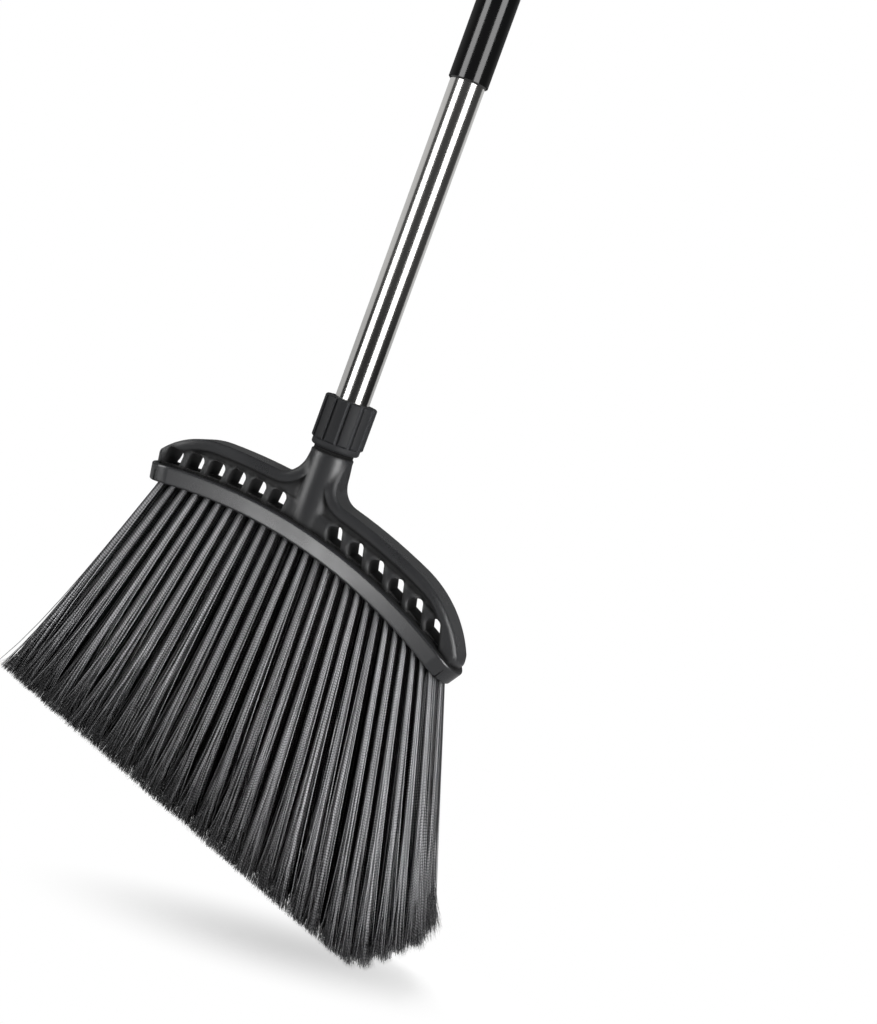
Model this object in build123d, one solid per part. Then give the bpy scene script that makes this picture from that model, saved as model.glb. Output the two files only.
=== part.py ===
"""Angle broom: a fan of tufted bristles on a moulded head, with a four-section screw-together handle.

Millimetres. +Z runs up the handle, +X along the head towards its long wing, and the head's
front faces -Y. The origin is the middle of the hang hole in the grip's dome.
"""

import math
import os

from build123d import *

# Handle tubes
TUBE_DIA = 22.0
TUBE_WALL = 0.8
TOP_TUBE_SHOWN = 159.0
MIDDLE_TUBE_SHOWN = 197.0
LOW_TUBE_SHOWN = 203.0

# Grip
GRIP_LENGTH = 122.0
GRIP_DOME_DIA = 28.0
GRIP_DOME_STRAIGHT = 4.0
GRIP_SHOULDER = 9.0
GRIP_WAIST_DIA = 26.0
GRIP_FOOT_DIA = 27.4
GRIP_SOCKET_DEPTH = 92.0
GRIP_RIB_COUNT = 20
GRIP_RIB_PITCH = 4.2
GRIP_RIB_DEPTH = 0.7
GRIP_FOOT_BAND = 6.0
HANG_HOLE_DIA = 8.0
HANG_HOLE_DEPTH = 15.0

# Couplers
COUPLER_COUNT = 3
COUPLER_DIA = 25.0
COUPLER_LENGTH = 60.0
COUPLER_EDGE = 0.8
COUPLER_WEB = 3.0
TUBE_ENTRY = 2.0

# Screw joints
THREAD_DIA = 19.0
THREAD_DEPTH = 0.8
THREAD_LEAD = 5.08
THREAD_TURNS = 4.75
PLUG_SPIGOT = 22.0
PLUG_FLANGE = 2.5
PLUG_BORE_DIA = 11.0
PLUG_NOSE = 1.2
WASHER_THICKNESS = 1.6
WASHER_DIA = 21.4
NECK_WASHER_DIA = 25.6
THREAD_RUNOUT = 1.5

# Collar
COLLAR_DIA = 33.6
COLLAR_LENGTH = 32.0
COLLAR_FLOOR = 5.0
COLLAR_BEAD_DIA = 31.0
COLLAR_BEAD_HEIGHT = 4.4
COLLAR_BEAD_ROUND = 1.9
COLLAR_EDGE = 0.8
FLUTE_COUNT = 12
FLUTE_DIA = 2.6

# Head: the rim is an arc, and angles about its centre run clockwise from straight up
RIM_RADIUS = 338.0
RIM_HEIGHT = 11.5
RIM_THICKNESS = 35.0
RIM_LENGTH = 245.0
RIM_EDGE = 1.4
RIM_WALL = 2.5
RIM_ROOF = 4.0
HEAD_ANGLE = 11.8
NECK_ANGLE = 9.75
NECK_DROP = 49.6
NECK_DIA = 27.4
NECK_FILLET = 14.0
FLANK_SHARE = 0.85
NECK_EDGE = 0.8
WING_SETBACK = 3.5
WING_HEIGHT = 23.2
LEFT_CROWN = 80.0
RIGHT_CROWN = 62.0
WING_CORNER = 4.0
FRAME_THICKNESS = 27.0
FRAME_WIDTH = 7.2
FRAME_EDGE = 2.2
RECESS_RIGHT_CROWN = 72.0
LEFT_END_WALL = 8.5
RIGHT_END_WALL = 20.0
PANEL_THICKNESS = 18.0
COMB_THICKNESS = 23.0
COMB_HEIGHT = 12.5
COMB_EDGE = 2.5
SILL_HEIGHT = 1.2
NECK_WEB_INSET = 1.2
NECK_WEB_THICKNESS = 8.0
NECK_WEB_DROP = 34.0

# Slots between the comb's ribs; each wing's lean like its bristles
SLOT_COUNT = 6
SLOT_HEIGHT = 12.0
SLOT_MIDDLE = 5.5
SLOT_CORNER = 3.5
SLOT_NECK_CLEAR = 21.5
LEFT_SLOT_WIDTH = 11.0
LEFT_SLOT_PITCH = 14.4
LEFT_SLOT_LEAN = 6.0
RIGHT_SLOT_WIDTH = 9.7
RIGHT_SLOT_PITCH = 16.4
RIGHT_SLOT_LEAN = -13.5

# Bristles
ROW_COUNT = 4
TUFT_PITCH = 8.2
TUFT_MARGIN = 5.5
STRAND_OFFSET = 1.35
STRAND_WIDTH = 2.1
STRAND_ROOT = 2.5
STRAND_SPLAY = 0.47
LEAN_LEFT = -18.5
LEAN_RIGHT = 18.0
ROW_FLARE = 4.5
SWEEP_DROP = 251.0
SWEEP_TILT = 15.7
CORNER_REACH = 129.0
CORNER_TILT = 45.0

# Clearances
RUNNING_GAP = 0.3
GLUE_GAP = 0.05

# How near a length must be to count as the same
MATCH = 0.01

# Heights along the handle, worked out downwards from the hang hole
GRIP_TOP_Z = HANG_HOLE_DEPTH
GRIP_FOOT_Z = GRIP_TOP_Z - GRIP_LENGTH
COUPLER_PITCH = COUPLER_LENGTH + MIDDLE_TUBE_SHOWN
COUPLER_TOPS = [GRIP_FOOT_Z - TOP_TUBE_SHOWN - i * COUPLER_PITCH for i in range(COUPLER_COUNT)]
COLLAR_TOP_Z = COUPLER_TOPS[-1] - COUPLER_LENGTH - LOW_TUBE_SHOWN
COLLAR_FOOT_Z = COLLAR_TOP_Z - COLLAR_LENGTH

# Screw joint stack: flange, washer, then the engaged thread
THREAD_ENGAGED = THREAD_LEAD * THREAD_TURNS
WASHER_ROOM = WASHER_THICKNESS + 2 * RUNNING_GAP
SHANK_DIA = THREAD_DIA - 2 * THREAD_DEPTH
THREAD_BORE_DIA = THREAD_DIA + 2 * RUNNING_GAP
WASHER_BORE_DIA = SHANK_DIA + 2 * RUNNING_GAP
MOUTH_DIA = TUBE_DIA + 2 * RUNNING_GAP
MOUTH_DEPTH = TUBE_ENTRY + PLUG_FLANGE + WASHER_ROOM
THREAD_BORE_DEPTH = THREAD_ENGAGED + THREAD_RUNOUT
SOCKET_DIA = TUBE_DIA + 2 * GLUE_GAP
COUPLER_SEAT = MOUTH_DEPTH + THREAD_BORE_DEPTH + COUPLER_WEB
NECK_TOP_Z = COLLAR_FOOT_Z - WASHER_ROOM

# Head arc
ARC_X = -RIM_RADIUS * math.sin(math.radians(NECK_ANGLE))
ARC_Z = COLLAR_FOOT_Z - NECK_DROP - RIM_RADIUS * math.cos(math.radians(NECK_ANGLE))
RIM_FOOT_RADIUS = RIM_RADIUS - RIM_HEIGHT
SHELL_FOOT_RADIUS = RIM_RADIUS + GLUE_GAP
POCKET_ROOF_RADIUS = RIM_RADIUS - RIM_ROOF
POCKET_THICKNESS = RIM_THICKNESS - 2 * RIM_WALL
POCKET_LENGTH = RIM_LENGTH - 2 * RIM_WALL
STRIP_FOOT_RADIUS = RIM_FOOT_RADIUS + RUNNING_GAP


def rod(dia, top, foot):
    """Solid cylinder on the handle's axis between two heights."""
    return Pos(0, 0, foot) * Cylinder(dia / 2, top - foot, align=(Align.CENTER, Align.CENTER, Align.MIN))


def turned(points):
    """Solid of revolution about the handle's axis from a closed profile of (radius, height) points."""
    return revolve(Plane.XZ * make_face(Polyline(*points, close=True)), Axis.Z)


def arc_point(along, radius):
    """Point on the head's plane, at a length along the rim from the head's middle and a radius."""
    angle = math.radians(HEAD_ANGLE) + along / RIM_RADIUS
    return Vector(ARC_X + radius * math.sin(angle), ARC_Z + radius * math.cos(angle))


def arc_tangent(along):
    """Unit direction along the rim, towards the long wing."""
    angle = math.radians(HEAD_ANGLE) + along / RIM_RADIUS
    return Vector(math.cos(angle), -math.sin(angle))


def arc_between(start, end, radius):
    """Arc about the rim's centre from one length along the rim to another."""
    middle = (start + end) / 2
    return ThreePointArc(arc_point(start, radius), arc_point(middle, radius), arc_point(end, radius))


def tube(top, foot):
    """Thin-walled steel tube."""
    return rod(TUBE_DIA, top, foot) - rod(TUBE_DIA - 2 * TUBE_WALL, top, foot)


def grip_profile():
    """Closed half-profile of the grip: dome, shoulder, ribbed body that widens to its foot."""
    dome_r = GRIP_DOME_DIA / 2
    waist_r = GRIP_WAIST_DIA / 2
    foot_r = GRIP_FOOT_DIA / 2
    dome_z = GRIP_TOP_Z - dome_r
    shoulder_z = dome_z - GRIP_DOME_STRAIGHT
    waist_z = shoulder_z - GRIP_SHOULDER
    taper = (foot_r - waist_r) / (waist_z - GRIP_FOOT_Z)
    ribs_foot_z = GRIP_FOOT_Z + GRIP_FOOT_BAND
    points = [(waist_r, waist_z)]
    for rib in range(GRIP_RIB_COUNT):
        groove_z = ribs_foot_z + (GRIP_RIB_COUNT - 0.5 - rib) * GRIP_RIB_PITCH
        crest_r = waist_r + taper * (waist_z - groove_z)
        half = GRIP_RIB_PITCH / 4
        points += [(crest_r, groove_z + half), (crest_r - GRIP_RIB_DEPTH, groove_z), (crest_r, groove_z - half)]
    points += [(foot_r, GRIP_FOOT_Z), (0, GRIP_FOOT_Z), (0, GRIP_TOP_Z)]
    side = Polyline(*points)
    dome = ThreePointArc(
        (0, GRIP_TOP_Z),
        (dome_r * math.sin(math.pi / 4), dome_z + dome_r * math.cos(math.pi / 4)),
        (dome_r, dome_z),
    )
    straight = Line((dome_r, dome_z), (dome_r, shoulder_z))
    shoulder = Line((dome_r, shoulder_z), (waist_r, waist_z))
    return make_face([dome, straight, shoulder, side])


def grip():
    """Moulded grip with a socket for the top tube and a hang hole through its dome."""
    body = revolve(Plane.XZ * grip_profile(), Axis.Z)
    body -= rod(SOCKET_DIA, GRIP_FOOT_Z + GRIP_SOCKET_DEPTH, GRIP_FOOT_Z)
    body -= Rot(90, 0, 0) * Cylinder(HANG_HOLE_DIA / 2, 2 * GRIP_DOME_DIA)
    return body


def coupler(top):
    """Sleeve fixed on a lower tube, with a threaded mouth for the plug of the tube above."""
    foot = top - COUPLER_LENGTH
    body = chamfer(rod(COUPLER_DIA, top, foot).edges(), COUPLER_EDGE)
    thread_top = top - MOUTH_DEPTH
    body -= rod(MOUTH_DIA, top, thread_top)
    body -= rod(THREAD_BORE_DIA, thread_top, thread_top - THREAD_BORE_DEPTH)
    body -= rod(SOCKET_DIA, top - COUPLER_SEAT, foot)
    return body


def screw_plug(flange_foot, shank_foot):
    """Plug fixed in a tube's lower end: spigot in the tube, flange under its end, then a hollow shank."""
    flange_top = flange_foot + PLUG_FLANGE
    spigot_r = TUBE_DIA / 2 - TUBE_WALL - GLUE_GAP
    flange_r = TUBE_DIA / 2
    shank_r = SHANK_DIA / 2
    bore_r = PLUG_BORE_DIA / 2
    return turned(
        [
            (bore_r, flange_top + PLUG_SPIGOT),
            (spigot_r - PLUG_NOSE, flange_top + PLUG_SPIGOT),
            (spigot_r, flange_top + PLUG_SPIGOT - PLUG_NOSE),
            (spigot_r, flange_top),
            (flange_r, flange_top),
            (flange_r, flange_foot),
            (shank_r, flange_foot),
            (shank_r, shank_foot + PLUG_NOSE),
            (shank_r - PLUG_NOSE, shank_foot),
            (bore_r, shank_foot),
        ]
    )


def washer(top, dia):
    """Seal washer that stays on the plug's shank, under its flange or collar."""
    foot = top - WASHER_THICKNESS
    return rod(dia, top, foot) - rod(WASHER_BORE_DIA, top, foot)


def collar():
    """Fluted hand nut fixed round the lowest tube, ending in a rounded bead above the neck."""
    bead_top = COLLAR_FOOT_Z + COLLAR_BEAD_HEIGHT
    nut = rod(COLLAR_DIA, COLLAR_TOP_Z, bead_top)
    nut = chamfer(nut.edges(), COLLAR_EDGE)
    flute = Pos(COLLAR_DIA / 2, 0, bead_top) * Cylinder(
        FLUTE_DIA / 2, COLLAR_LENGTH, align=(Align.CENTER, Align.CENTER, Align.MIN)
    )
    nut -= [Rot(0, 0, (i + 0.5) * 360 / FLUTE_COUNT) * flute for i in range(FLUTE_COUNT)]
    bead = rod(COLLAR_BEAD_DIA, bead_top, COLLAR_FOOT_Z)
    bead = fillet(bead.edges().sort_by(Axis.Z)[0], COLLAR_BEAD_ROUND)
    body = nut + bead
    body -= rod(SOCKET_DIA, COLLAR_TOP_Z, COLLAR_FOOT_Z + COLLAR_FLOOR)
    body -= rod(SHANK_DIA + 2 * GLUE_GAP, COLLAR_TOP_Z, COLLAR_FOOT_Z)
    return body


def wing_sketch(height, ends, crowns):
    """Front outline of the two wings: a crown concentric with the rim, and a shoulder falling to each end.

    The ends run on down past the rim's top, where the head is trimmed to it.
    """
    crown_r = RIM_RADIUS + height
    lines = [arc_between(-ends[0], ends[1], RIM_FOOT_RADIUS), arc_between(-crowns[0], crowns[1], crown_r)]
    tips = []
    for side, end, crown in zip((-1, 1), ends, crowns):
        tip = arc_point(side * end, RIM_RADIUS)
        tangent = arc_tangent(side * crown) * side
        lines.append(TangentArc(arc_point(side * crown, crown_r), tip, tangent=tangent))
        lines.append(Line(tip, arc_point(side * end, RIM_FOOT_RADIUS)))
        tips.append(tip)
    wings = make_face(lines)
    corners = [v for v in wings.vertices() if min((v.center() - tip).length for tip in tips) < MATCH]
    return fillet(corners, WING_CORNER)


def head_outline(share):
    """Front outline of the web at a share of the way in from its edge (0) to the recess inside the frame (1)."""
    inset = share * FRAME_WIDTH
    ends = (RIM_LENGTH / 2 - share * LEFT_END_WALL, RIM_LENGTH / 2 - share * RIGHT_END_WALL)
    crowns = (LEFT_CROWN, RIGHT_CROWN + share * (RECESS_RIGHT_CROWN - RIGHT_CROWN))
    half = NECK_DIA / 2 - NECK_WEB_INSET - inset
    top = NECK_TOP_Z - NECK_WEB_INSET + inset
    height = WING_HEIGHT - inset
    neck = Pos(0, top) * Rectangle(2 * half, NECK_DROP, align=(Align.CENTER, Align.MAX))
    outline = wing_sketch(height, ends, crowns) + neck
    roots = [v for v in outline.vertices() if abs(abs(v.X) - half) < MATCH and v.Y < top - MATCH]
    crown_z = ARC_Z + math.sqrt((RIM_RADIUS + height) ** 2 - (ARC_X + half) ** 2)
    return fillet(roots, min(NECK_FILLET + inset, FLANK_SHARE * (top - crown_z)))


def plate(outline, thickness):
    """Flat plate from a front outline, centred on the head's plane."""
    return extrude(Plane.XZ * outline, thickness / 2, both=True)


def web_taper():
    """Side view of the web, extruded along the head: full thickness below, curving in to the neck at its top."""
    foot = FRAME_THICKNESS / 2
    top = NECK_WEB_THICKNESS / 2
    start_z = NECK_TOP_Z - NECK_WEB_DROP
    low_z = NECK_TOP_Z - RIM_LENGTH
    lines = [
        TangentArc((foot, start_z), (top, NECK_TOP_Z), tangent=(0, 1)),
        Line((top, NECK_TOP_Z), (-top, NECK_TOP_Z)),
        TangentArc((-foot, start_z), (-top, NECK_TOP_Z), tangent=(0, 1)),
        Polyline((-foot, start_z), (-foot, low_z), (foot, low_z), (foot, start_z)),
    ]
    return extrude(Plane.YZ * make_face(lines), RIM_LENGTH, both=True)


def arc_radius(edge):
    """Distance of an edge's middle from the rim's centre, seen from the front."""
    middle = edge @ 0.5
    return math.hypot(middle.X - ARC_X, middle.Z - ARC_Z)


def face_edges(body, thickness):
    """Edges along the front and back of a plate, clear of its foot and of the neck's top."""
    top = NECK_TOP_Z - NECK_WEB_INSET
    on_face = [e for e in body.edges() if abs(abs((e @ 0.5).Y) - thickness / 2) < MATCH]
    return [e for e in on_face if arc_radius(e) > RIM_FOOT_RADIUS + MATCH and (e @ 0.5).Z < top - MATCH]


def frame_ring():
    """Rounded frame round the wings and up both sides of the neck."""
    ring = plate(head_outline(0) - head_outline(1), FRAME_THICKNESS)
    return fillet(face_edges(ring, FRAME_THICKNESS), FRAME_EDGE)


def band(height, thickness):
    """Part of the web up to a height above the rim."""
    return plate(head_outline(0.5) & Pos(ARC_X, ARC_Z) * Circle(RIM_RADIUS + height), thickness)


def comb():
    """Band of ribs along the rim, proud of the panel, with rounded top edges."""
    ribs = band(COMB_HEIGHT, COMB_THICKNESS)
    roof = RIM_RADIUS + COMB_HEIGHT
    tops = [e for e in face_edges(ribs, COMB_THICKNESS) if abs(arc_radius(e) - roof) < MATCH]
    return fillet(tops, COMB_EDGE)


def slots():
    """Slots with rounded tops through both wings."""
    neck_along = math.radians(NECK_ANGLE - HEAD_ANGLE) * RIM_RADIUS
    wings = (
        (-1, LEFT_SLOT_WIDTH, LEFT_SLOT_PITCH, LEFT_SLOT_LEAN),
        (1, RIGHT_SLOT_WIDTH, RIGHT_SLOT_PITCH, RIGHT_SLOT_LEAN),
    )
    cutters = []
    for side, width, pitch, lean in wings:
        window = Rectangle(width, 2 * SLOT_HEIGHT, align=(Align.CENTER, Align.MAX))
        window = Pos(0, SLOT_HEIGHT - SLOT_MIDDLE) * fillet(window.vertices().sort_by(Axis.Y)[-2:], SLOT_CORNER)
        for i in range(SLOT_COUNT):
            place = arc_point(neck_along + side * (SLOT_NECK_CLEAR + i * pitch), RIM_RADIUS + SLOT_MIDDLE)
            cutters.append(plate(Pos(place.X, place.Y) * Rot(0, 0, -lean) * window, RIM_THICKNESS))
    return cutters


def neck():
    """Round neck that runs down over the panel past the rim's top."""
    boss = rod(NECK_DIA, NECK_TOP_Z, COLLAR_FOOT_Z - NECK_DROP - NECK_DIA)
    return chamfer(boss.edges().sort_by(Axis.Z)[-1], NECK_EDGE)


def head_shell():
    """Moulded head: framed wings round a recessed panel, ribs and slots, and the neck with its threaded bore."""
    wing_length = RIM_LENGTH - 2 * WING_SETBACK
    envelope = rim_band(wing_length, RIM_THICKNESS, RIM_FOOT_RADIUS - RIM_HEIGHT, RIM_RADIUS + 2 * NECK_DROP)
    web = frame_ring() + plate(head_outline(0.5), PANEL_THICKNESS) + comb()
    web = web - slots() + band(SILL_HEIGHT, PANEL_THICKNESS)
    shell = (web & web_taper() & envelope) + neck()
    shell -= Pos(ARC_X, 0, ARC_Z) * Rot(90, 0, 0) * Cylinder(SHELL_FOOT_RADIUS, 2 * RIM_THICKNESS)
    return shell - rod(THREAD_BORE_DIA, NECK_TOP_Z, NECK_TOP_Z - THREAD_BORE_DEPTH)


def rim_band(length, thickness, foot_radius, roof_radius):
    """Arc-shaped band with half-round ends, seen from above."""
    half = length / 2
    lines = [arc_between(-half, half, foot_radius), arc_between(-half, half, roof_radius)]
    for end in (-half, half):
        lines.append(Line(arc_point(end, foot_radius), arc_point(end, roof_radius)))
    body = plate(make_face(lines), thickness)
    ends = [e for e in body.edges() if abs(e.length - (roof_radius - foot_radius)) < MATCH]
    return fillet(ends, thickness / 2 - GLUE_GAP)


def rim():
    """Rim under the wings, hollowed from below for the bristle strips."""
    body = rim_band(RIM_LENGTH, RIM_THICKNESS, RIM_FOOT_RADIUS, RIM_RADIUS)
    lips = [e for e in body.edges() if abs(e.length - RIM_HEIGHT) > GLUE_GAP]
    body = fillet(lips, RIM_EDGE)
    return body - rim_band(POCKET_LENGTH, POCKET_THICKNESS, RIM_FOOT_RADIUS - RIM_WALL, POCKET_ROOF_RADIUS)


def strand(along, y, lean, flare):
    """One straight bristle strand, from inside its strip down to the slanted sweeping edge."""
    mouth = arc_point(along, STRIP_FOOT_RADIUS)
    direction = Vector(math.tan(math.radians(lean)), math.tan(math.radians(flare)), -1)
    root = Vector(mouth.X, y, mouth.Y) - direction * STRAND_ROOT
    drop = root.Z - COLLAR_FOOT_Z + SWEEP_DROP
    sweep = math.tan(math.radians(SWEEP_TILT))
    corner = math.tan(math.radians(CORNER_TILT))
    to_sweep = (drop + sweep * root.X) / (1 - sweep * direction.X)
    to_corner = (drop + sweep * CORNER_REACH + corner * (CORNER_REACH - root.X)) / (1 + corner * direction.X)
    half = STRAND_WIDTH / 2
    corners = [Vector(half, 0), Vector(0, half), Vector(-half, 0), Vector(0, -half)]
    section = Face(Wire.make_polygon([root + offset for offset in corners]))
    return Solid.extrude(section, direction * min(to_sweep, to_corner))


def row_strip(y_low, y_high):
    """Slice of the backing that one row of tufts is set in."""
    strip = rim_band(
        POCKET_LENGTH - 2 * GLUE_GAP,
        POCKET_THICKNESS - 2 * GLUE_GAP,
        STRIP_FOOT_RADIUS,
        POCKET_ROOF_RADIUS - GLUE_GAP,
    )
    slab = Pos(0, (y_low + y_high) / 2, COLLAR_FOOT_Z) * Box(2 * RIM_LENGTH, y_high - y_low, 2 * RIM_RADIUS)
    return strip & slab


def bristle_row(index):
    """Row of tufts, four strands each, fused to its strip; every other row stands half a pitch along."""
    width = POCKET_THICKNESS / ROW_COUNT
    y = (index - (ROW_COUNT - 1) / 2) * width
    strip = row_strip(y - width / 2 + GLUE_GAP, y + width / 2 - GLUE_GAP)
    end_r = POCKET_THICKNESS / 2
    half = POCKET_LENGTH / 2 - end_r + math.sqrt(end_r**2 - y**2) - TUFT_MARGIN
    steps = int(2 * half / TUFT_PITCH)
    shift = index % 2
    strands = []
    for tuft in range(steps + 1 - shift):
        share = (tuft + shift / 2) / steps
        along = (2 * share - 1) * half
        lean = LEAN_LEFT + (LEAN_RIGHT - LEAN_LEFT) * share
        for dx in (-STRAND_OFFSET, STRAND_OFFSET):
            for dy in (-STRAND_OFFSET, STRAND_OFFSET):
                flare = ROW_FLARE * y / end_r + math.copysign(STRAND_SPLAY, dy)
                strands.append(strand(along + dx, y + dy, lean + math.copysign(STRAND_SPLAY, dx), flare))
    return strip.solid().fuse(*strands)


def parts():
    """Every node of the broom by name."""
    nodes = {"grip": grip()}
    tube_top = GRIP_FOOT_Z + GRIP_SOCKET_DEPTH
    for i, top in enumerate(COUPLER_TOPS, start=1):
        flange_foot = top - TUBE_ENTRY - PLUG_FLANGE
        nodes[f"tube_{i}"] = tube(tube_top, top - TUBE_ENTRY)
        nodes[f"plug_{i}"] = screw_plug(flange_foot, top - MOUTH_DEPTH - THREAD_ENGAGED)
        nodes[f"washer_{i}"] = washer(flange_foot - RUNNING_GAP, WASHER_DIA)
        nodes[f"coupler_{i}"] = coupler(top)
        tube_top = top - COUPLER_SEAT
    last = COUPLER_COUNT + 1
    flange_foot = COLLAR_FOOT_Z + COLLAR_FLOOR
    nodes[f"tube_{last}"] = tube(tube_top, flange_foot + PLUG_FLANGE)
    nodes[f"plug_{last}"] = screw_plug(flange_foot, NECK_TOP_Z - THREAD_ENGAGED)
    nodes[f"washer_{last}"] = washer(COLLAR_FOOT_Z - RUNNING_GAP, NECK_WASHER_DIA)
    nodes["collar"] = collar()
    nodes["head_shell"] = head_shell()
    nodes["rim"] = rim()
    for row in range(ROW_COUNT):
        nodes[f"bristle_row_{row + 1}"] = bristle_row(row)
    return nodes


os.makedirs("parts", exist_ok=True)
for name, shape in parts().items():
    export_step(shape, f"parts/{name}.step")
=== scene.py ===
"""Looks of an angle broom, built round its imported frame: finishes, tufted bristles, screw threads and studio.

Metres, in the frame's own axes: +Z up the handle, +X towards the head's long wing, -Y out of the head's front.
"""

from __future__ import annotations

import logging
import math
from dataclasses import dataclass, field
from enum import Enum
from typing import Any, Union

import bpy
from mathutils import Matrix, Vector


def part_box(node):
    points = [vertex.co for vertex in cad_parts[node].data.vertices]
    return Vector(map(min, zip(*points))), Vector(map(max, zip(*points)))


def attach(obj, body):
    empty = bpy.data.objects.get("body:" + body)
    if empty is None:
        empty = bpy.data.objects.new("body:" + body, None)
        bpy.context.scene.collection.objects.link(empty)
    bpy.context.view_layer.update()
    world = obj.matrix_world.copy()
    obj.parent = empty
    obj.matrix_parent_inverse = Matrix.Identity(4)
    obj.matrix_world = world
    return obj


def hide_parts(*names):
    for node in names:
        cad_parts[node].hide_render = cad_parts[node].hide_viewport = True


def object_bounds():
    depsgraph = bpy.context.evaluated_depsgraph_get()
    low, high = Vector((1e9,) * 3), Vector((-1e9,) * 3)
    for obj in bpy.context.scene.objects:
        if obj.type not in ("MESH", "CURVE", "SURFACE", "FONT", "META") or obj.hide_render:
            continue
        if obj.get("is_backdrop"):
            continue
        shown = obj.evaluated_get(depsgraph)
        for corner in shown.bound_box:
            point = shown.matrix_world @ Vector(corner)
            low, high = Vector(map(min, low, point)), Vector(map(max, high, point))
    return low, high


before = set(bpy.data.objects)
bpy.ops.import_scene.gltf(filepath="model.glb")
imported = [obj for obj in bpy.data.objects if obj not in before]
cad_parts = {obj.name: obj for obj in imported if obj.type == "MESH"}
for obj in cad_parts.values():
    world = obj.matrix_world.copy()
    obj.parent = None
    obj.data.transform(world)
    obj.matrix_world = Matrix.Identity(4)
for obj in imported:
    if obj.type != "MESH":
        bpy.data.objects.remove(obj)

LOG = logging.getLogger("broom")
MM = 0.001
GOLDEN_ANGLE = math.radians(137.508)
Colour = tuple[float, float, float]
Operand = Union["Value", float, int]
Options = dict[str, Any]
Piece = bpy.types.Object
Pair = tuple["Value", "Value"]
Triple = tuple["Value", "Value", "Value"]


class Body(Enum):
    """The rigid bodies that the scene's own pieces ride on."""

    GRIP_SECTION = "grip_section"
    SECTION_2 = "section_2"
    SECTION_3 = "section_3"
    SECTION_4 = "section_4"
    HEAD = "head"


class Surface(Enum):
    """Moulded surface textures, each with the size of its grain."""

    POLISHED = 6.0 * MM
    FINE = 0.45 * MM
    SPARKED = 0.9 * MM


class Link(Enum):
    """Whether a light shines on its listed pieces alone or on all the others."""

    ALONE = "INCLUDE"
    OTHERS = "EXCLUDE"


class Draw(Enum):
    """Random draws of a row of tufts, each with the number that sets it apart."""

    TUFT_TURN = 1
    FIBRE_STRAY = 2
    TUFT_LEAN = 3
    TUFT_FLARE = 4
    FIBRE_TRIM = 5
    TUFT_TRIM = 6
    FRAY_SIDE = 7
    BOW_SIDE = 8
    FRAY_DEPTH = 9
    BOW_DEPTH = 10
    CRIMP_START = 12
    FIBRE_TONE = 13
    END_TURN = 14
    END_SPREAD = 15
    END_TRIM = 16
    END_LENGTH = 17
    END_SIDE = 18
    END_DEPTH = 19
    END_TONE = 20
    RIDER_LEAN = 21
    TUFT_TONE = 22


class Value:
    """A value in a node tree. Arithmetic on it adds Math nodes."""

    def __init__(self, graph: Graph, socket: bpy.types.NodeSocket) -> None:
        """Wrap an output socket of a node in the graph."""
        self.graph = graph
        self.socket = socket

    def __add__(self, other: Operand) -> Value:
        """Sum of the two."""
        return self.graph.math("ADD", self, other)

    def __sub__(self, other: Operand) -> Value:
        """This less the other."""
        return self.graph.math("SUBTRACT", self, other)

    def __rsub__(self, other: Operand) -> Value:
        """The other less this."""
        return self.graph.math("SUBTRACT", other, self)

    def __mul__(self, other: Operand) -> Value:
        """Product of the two."""
        return self.graph.math("MULTIPLY", self, other)

    def __truediv__(self, other: Operand) -> Value:
        """This over the other."""
        return self.graph.math("DIVIDE", self, other)

    def __rtruediv__(self, other: Operand) -> Value:
        """The other over this."""
        return self.graph.math("DIVIDE", other, self)

    def __pow__(self, other: Operand) -> Value:
        """This to the power of the other."""
        return self.graph.math("POWER", self, other)

    def __rpow__(self, other: Operand) -> Value:
        """The other to the power of this."""
        return self.graph.math("POWER", other, self)

    __radd__ = __add__
    __rmul__ = __mul__


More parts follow.
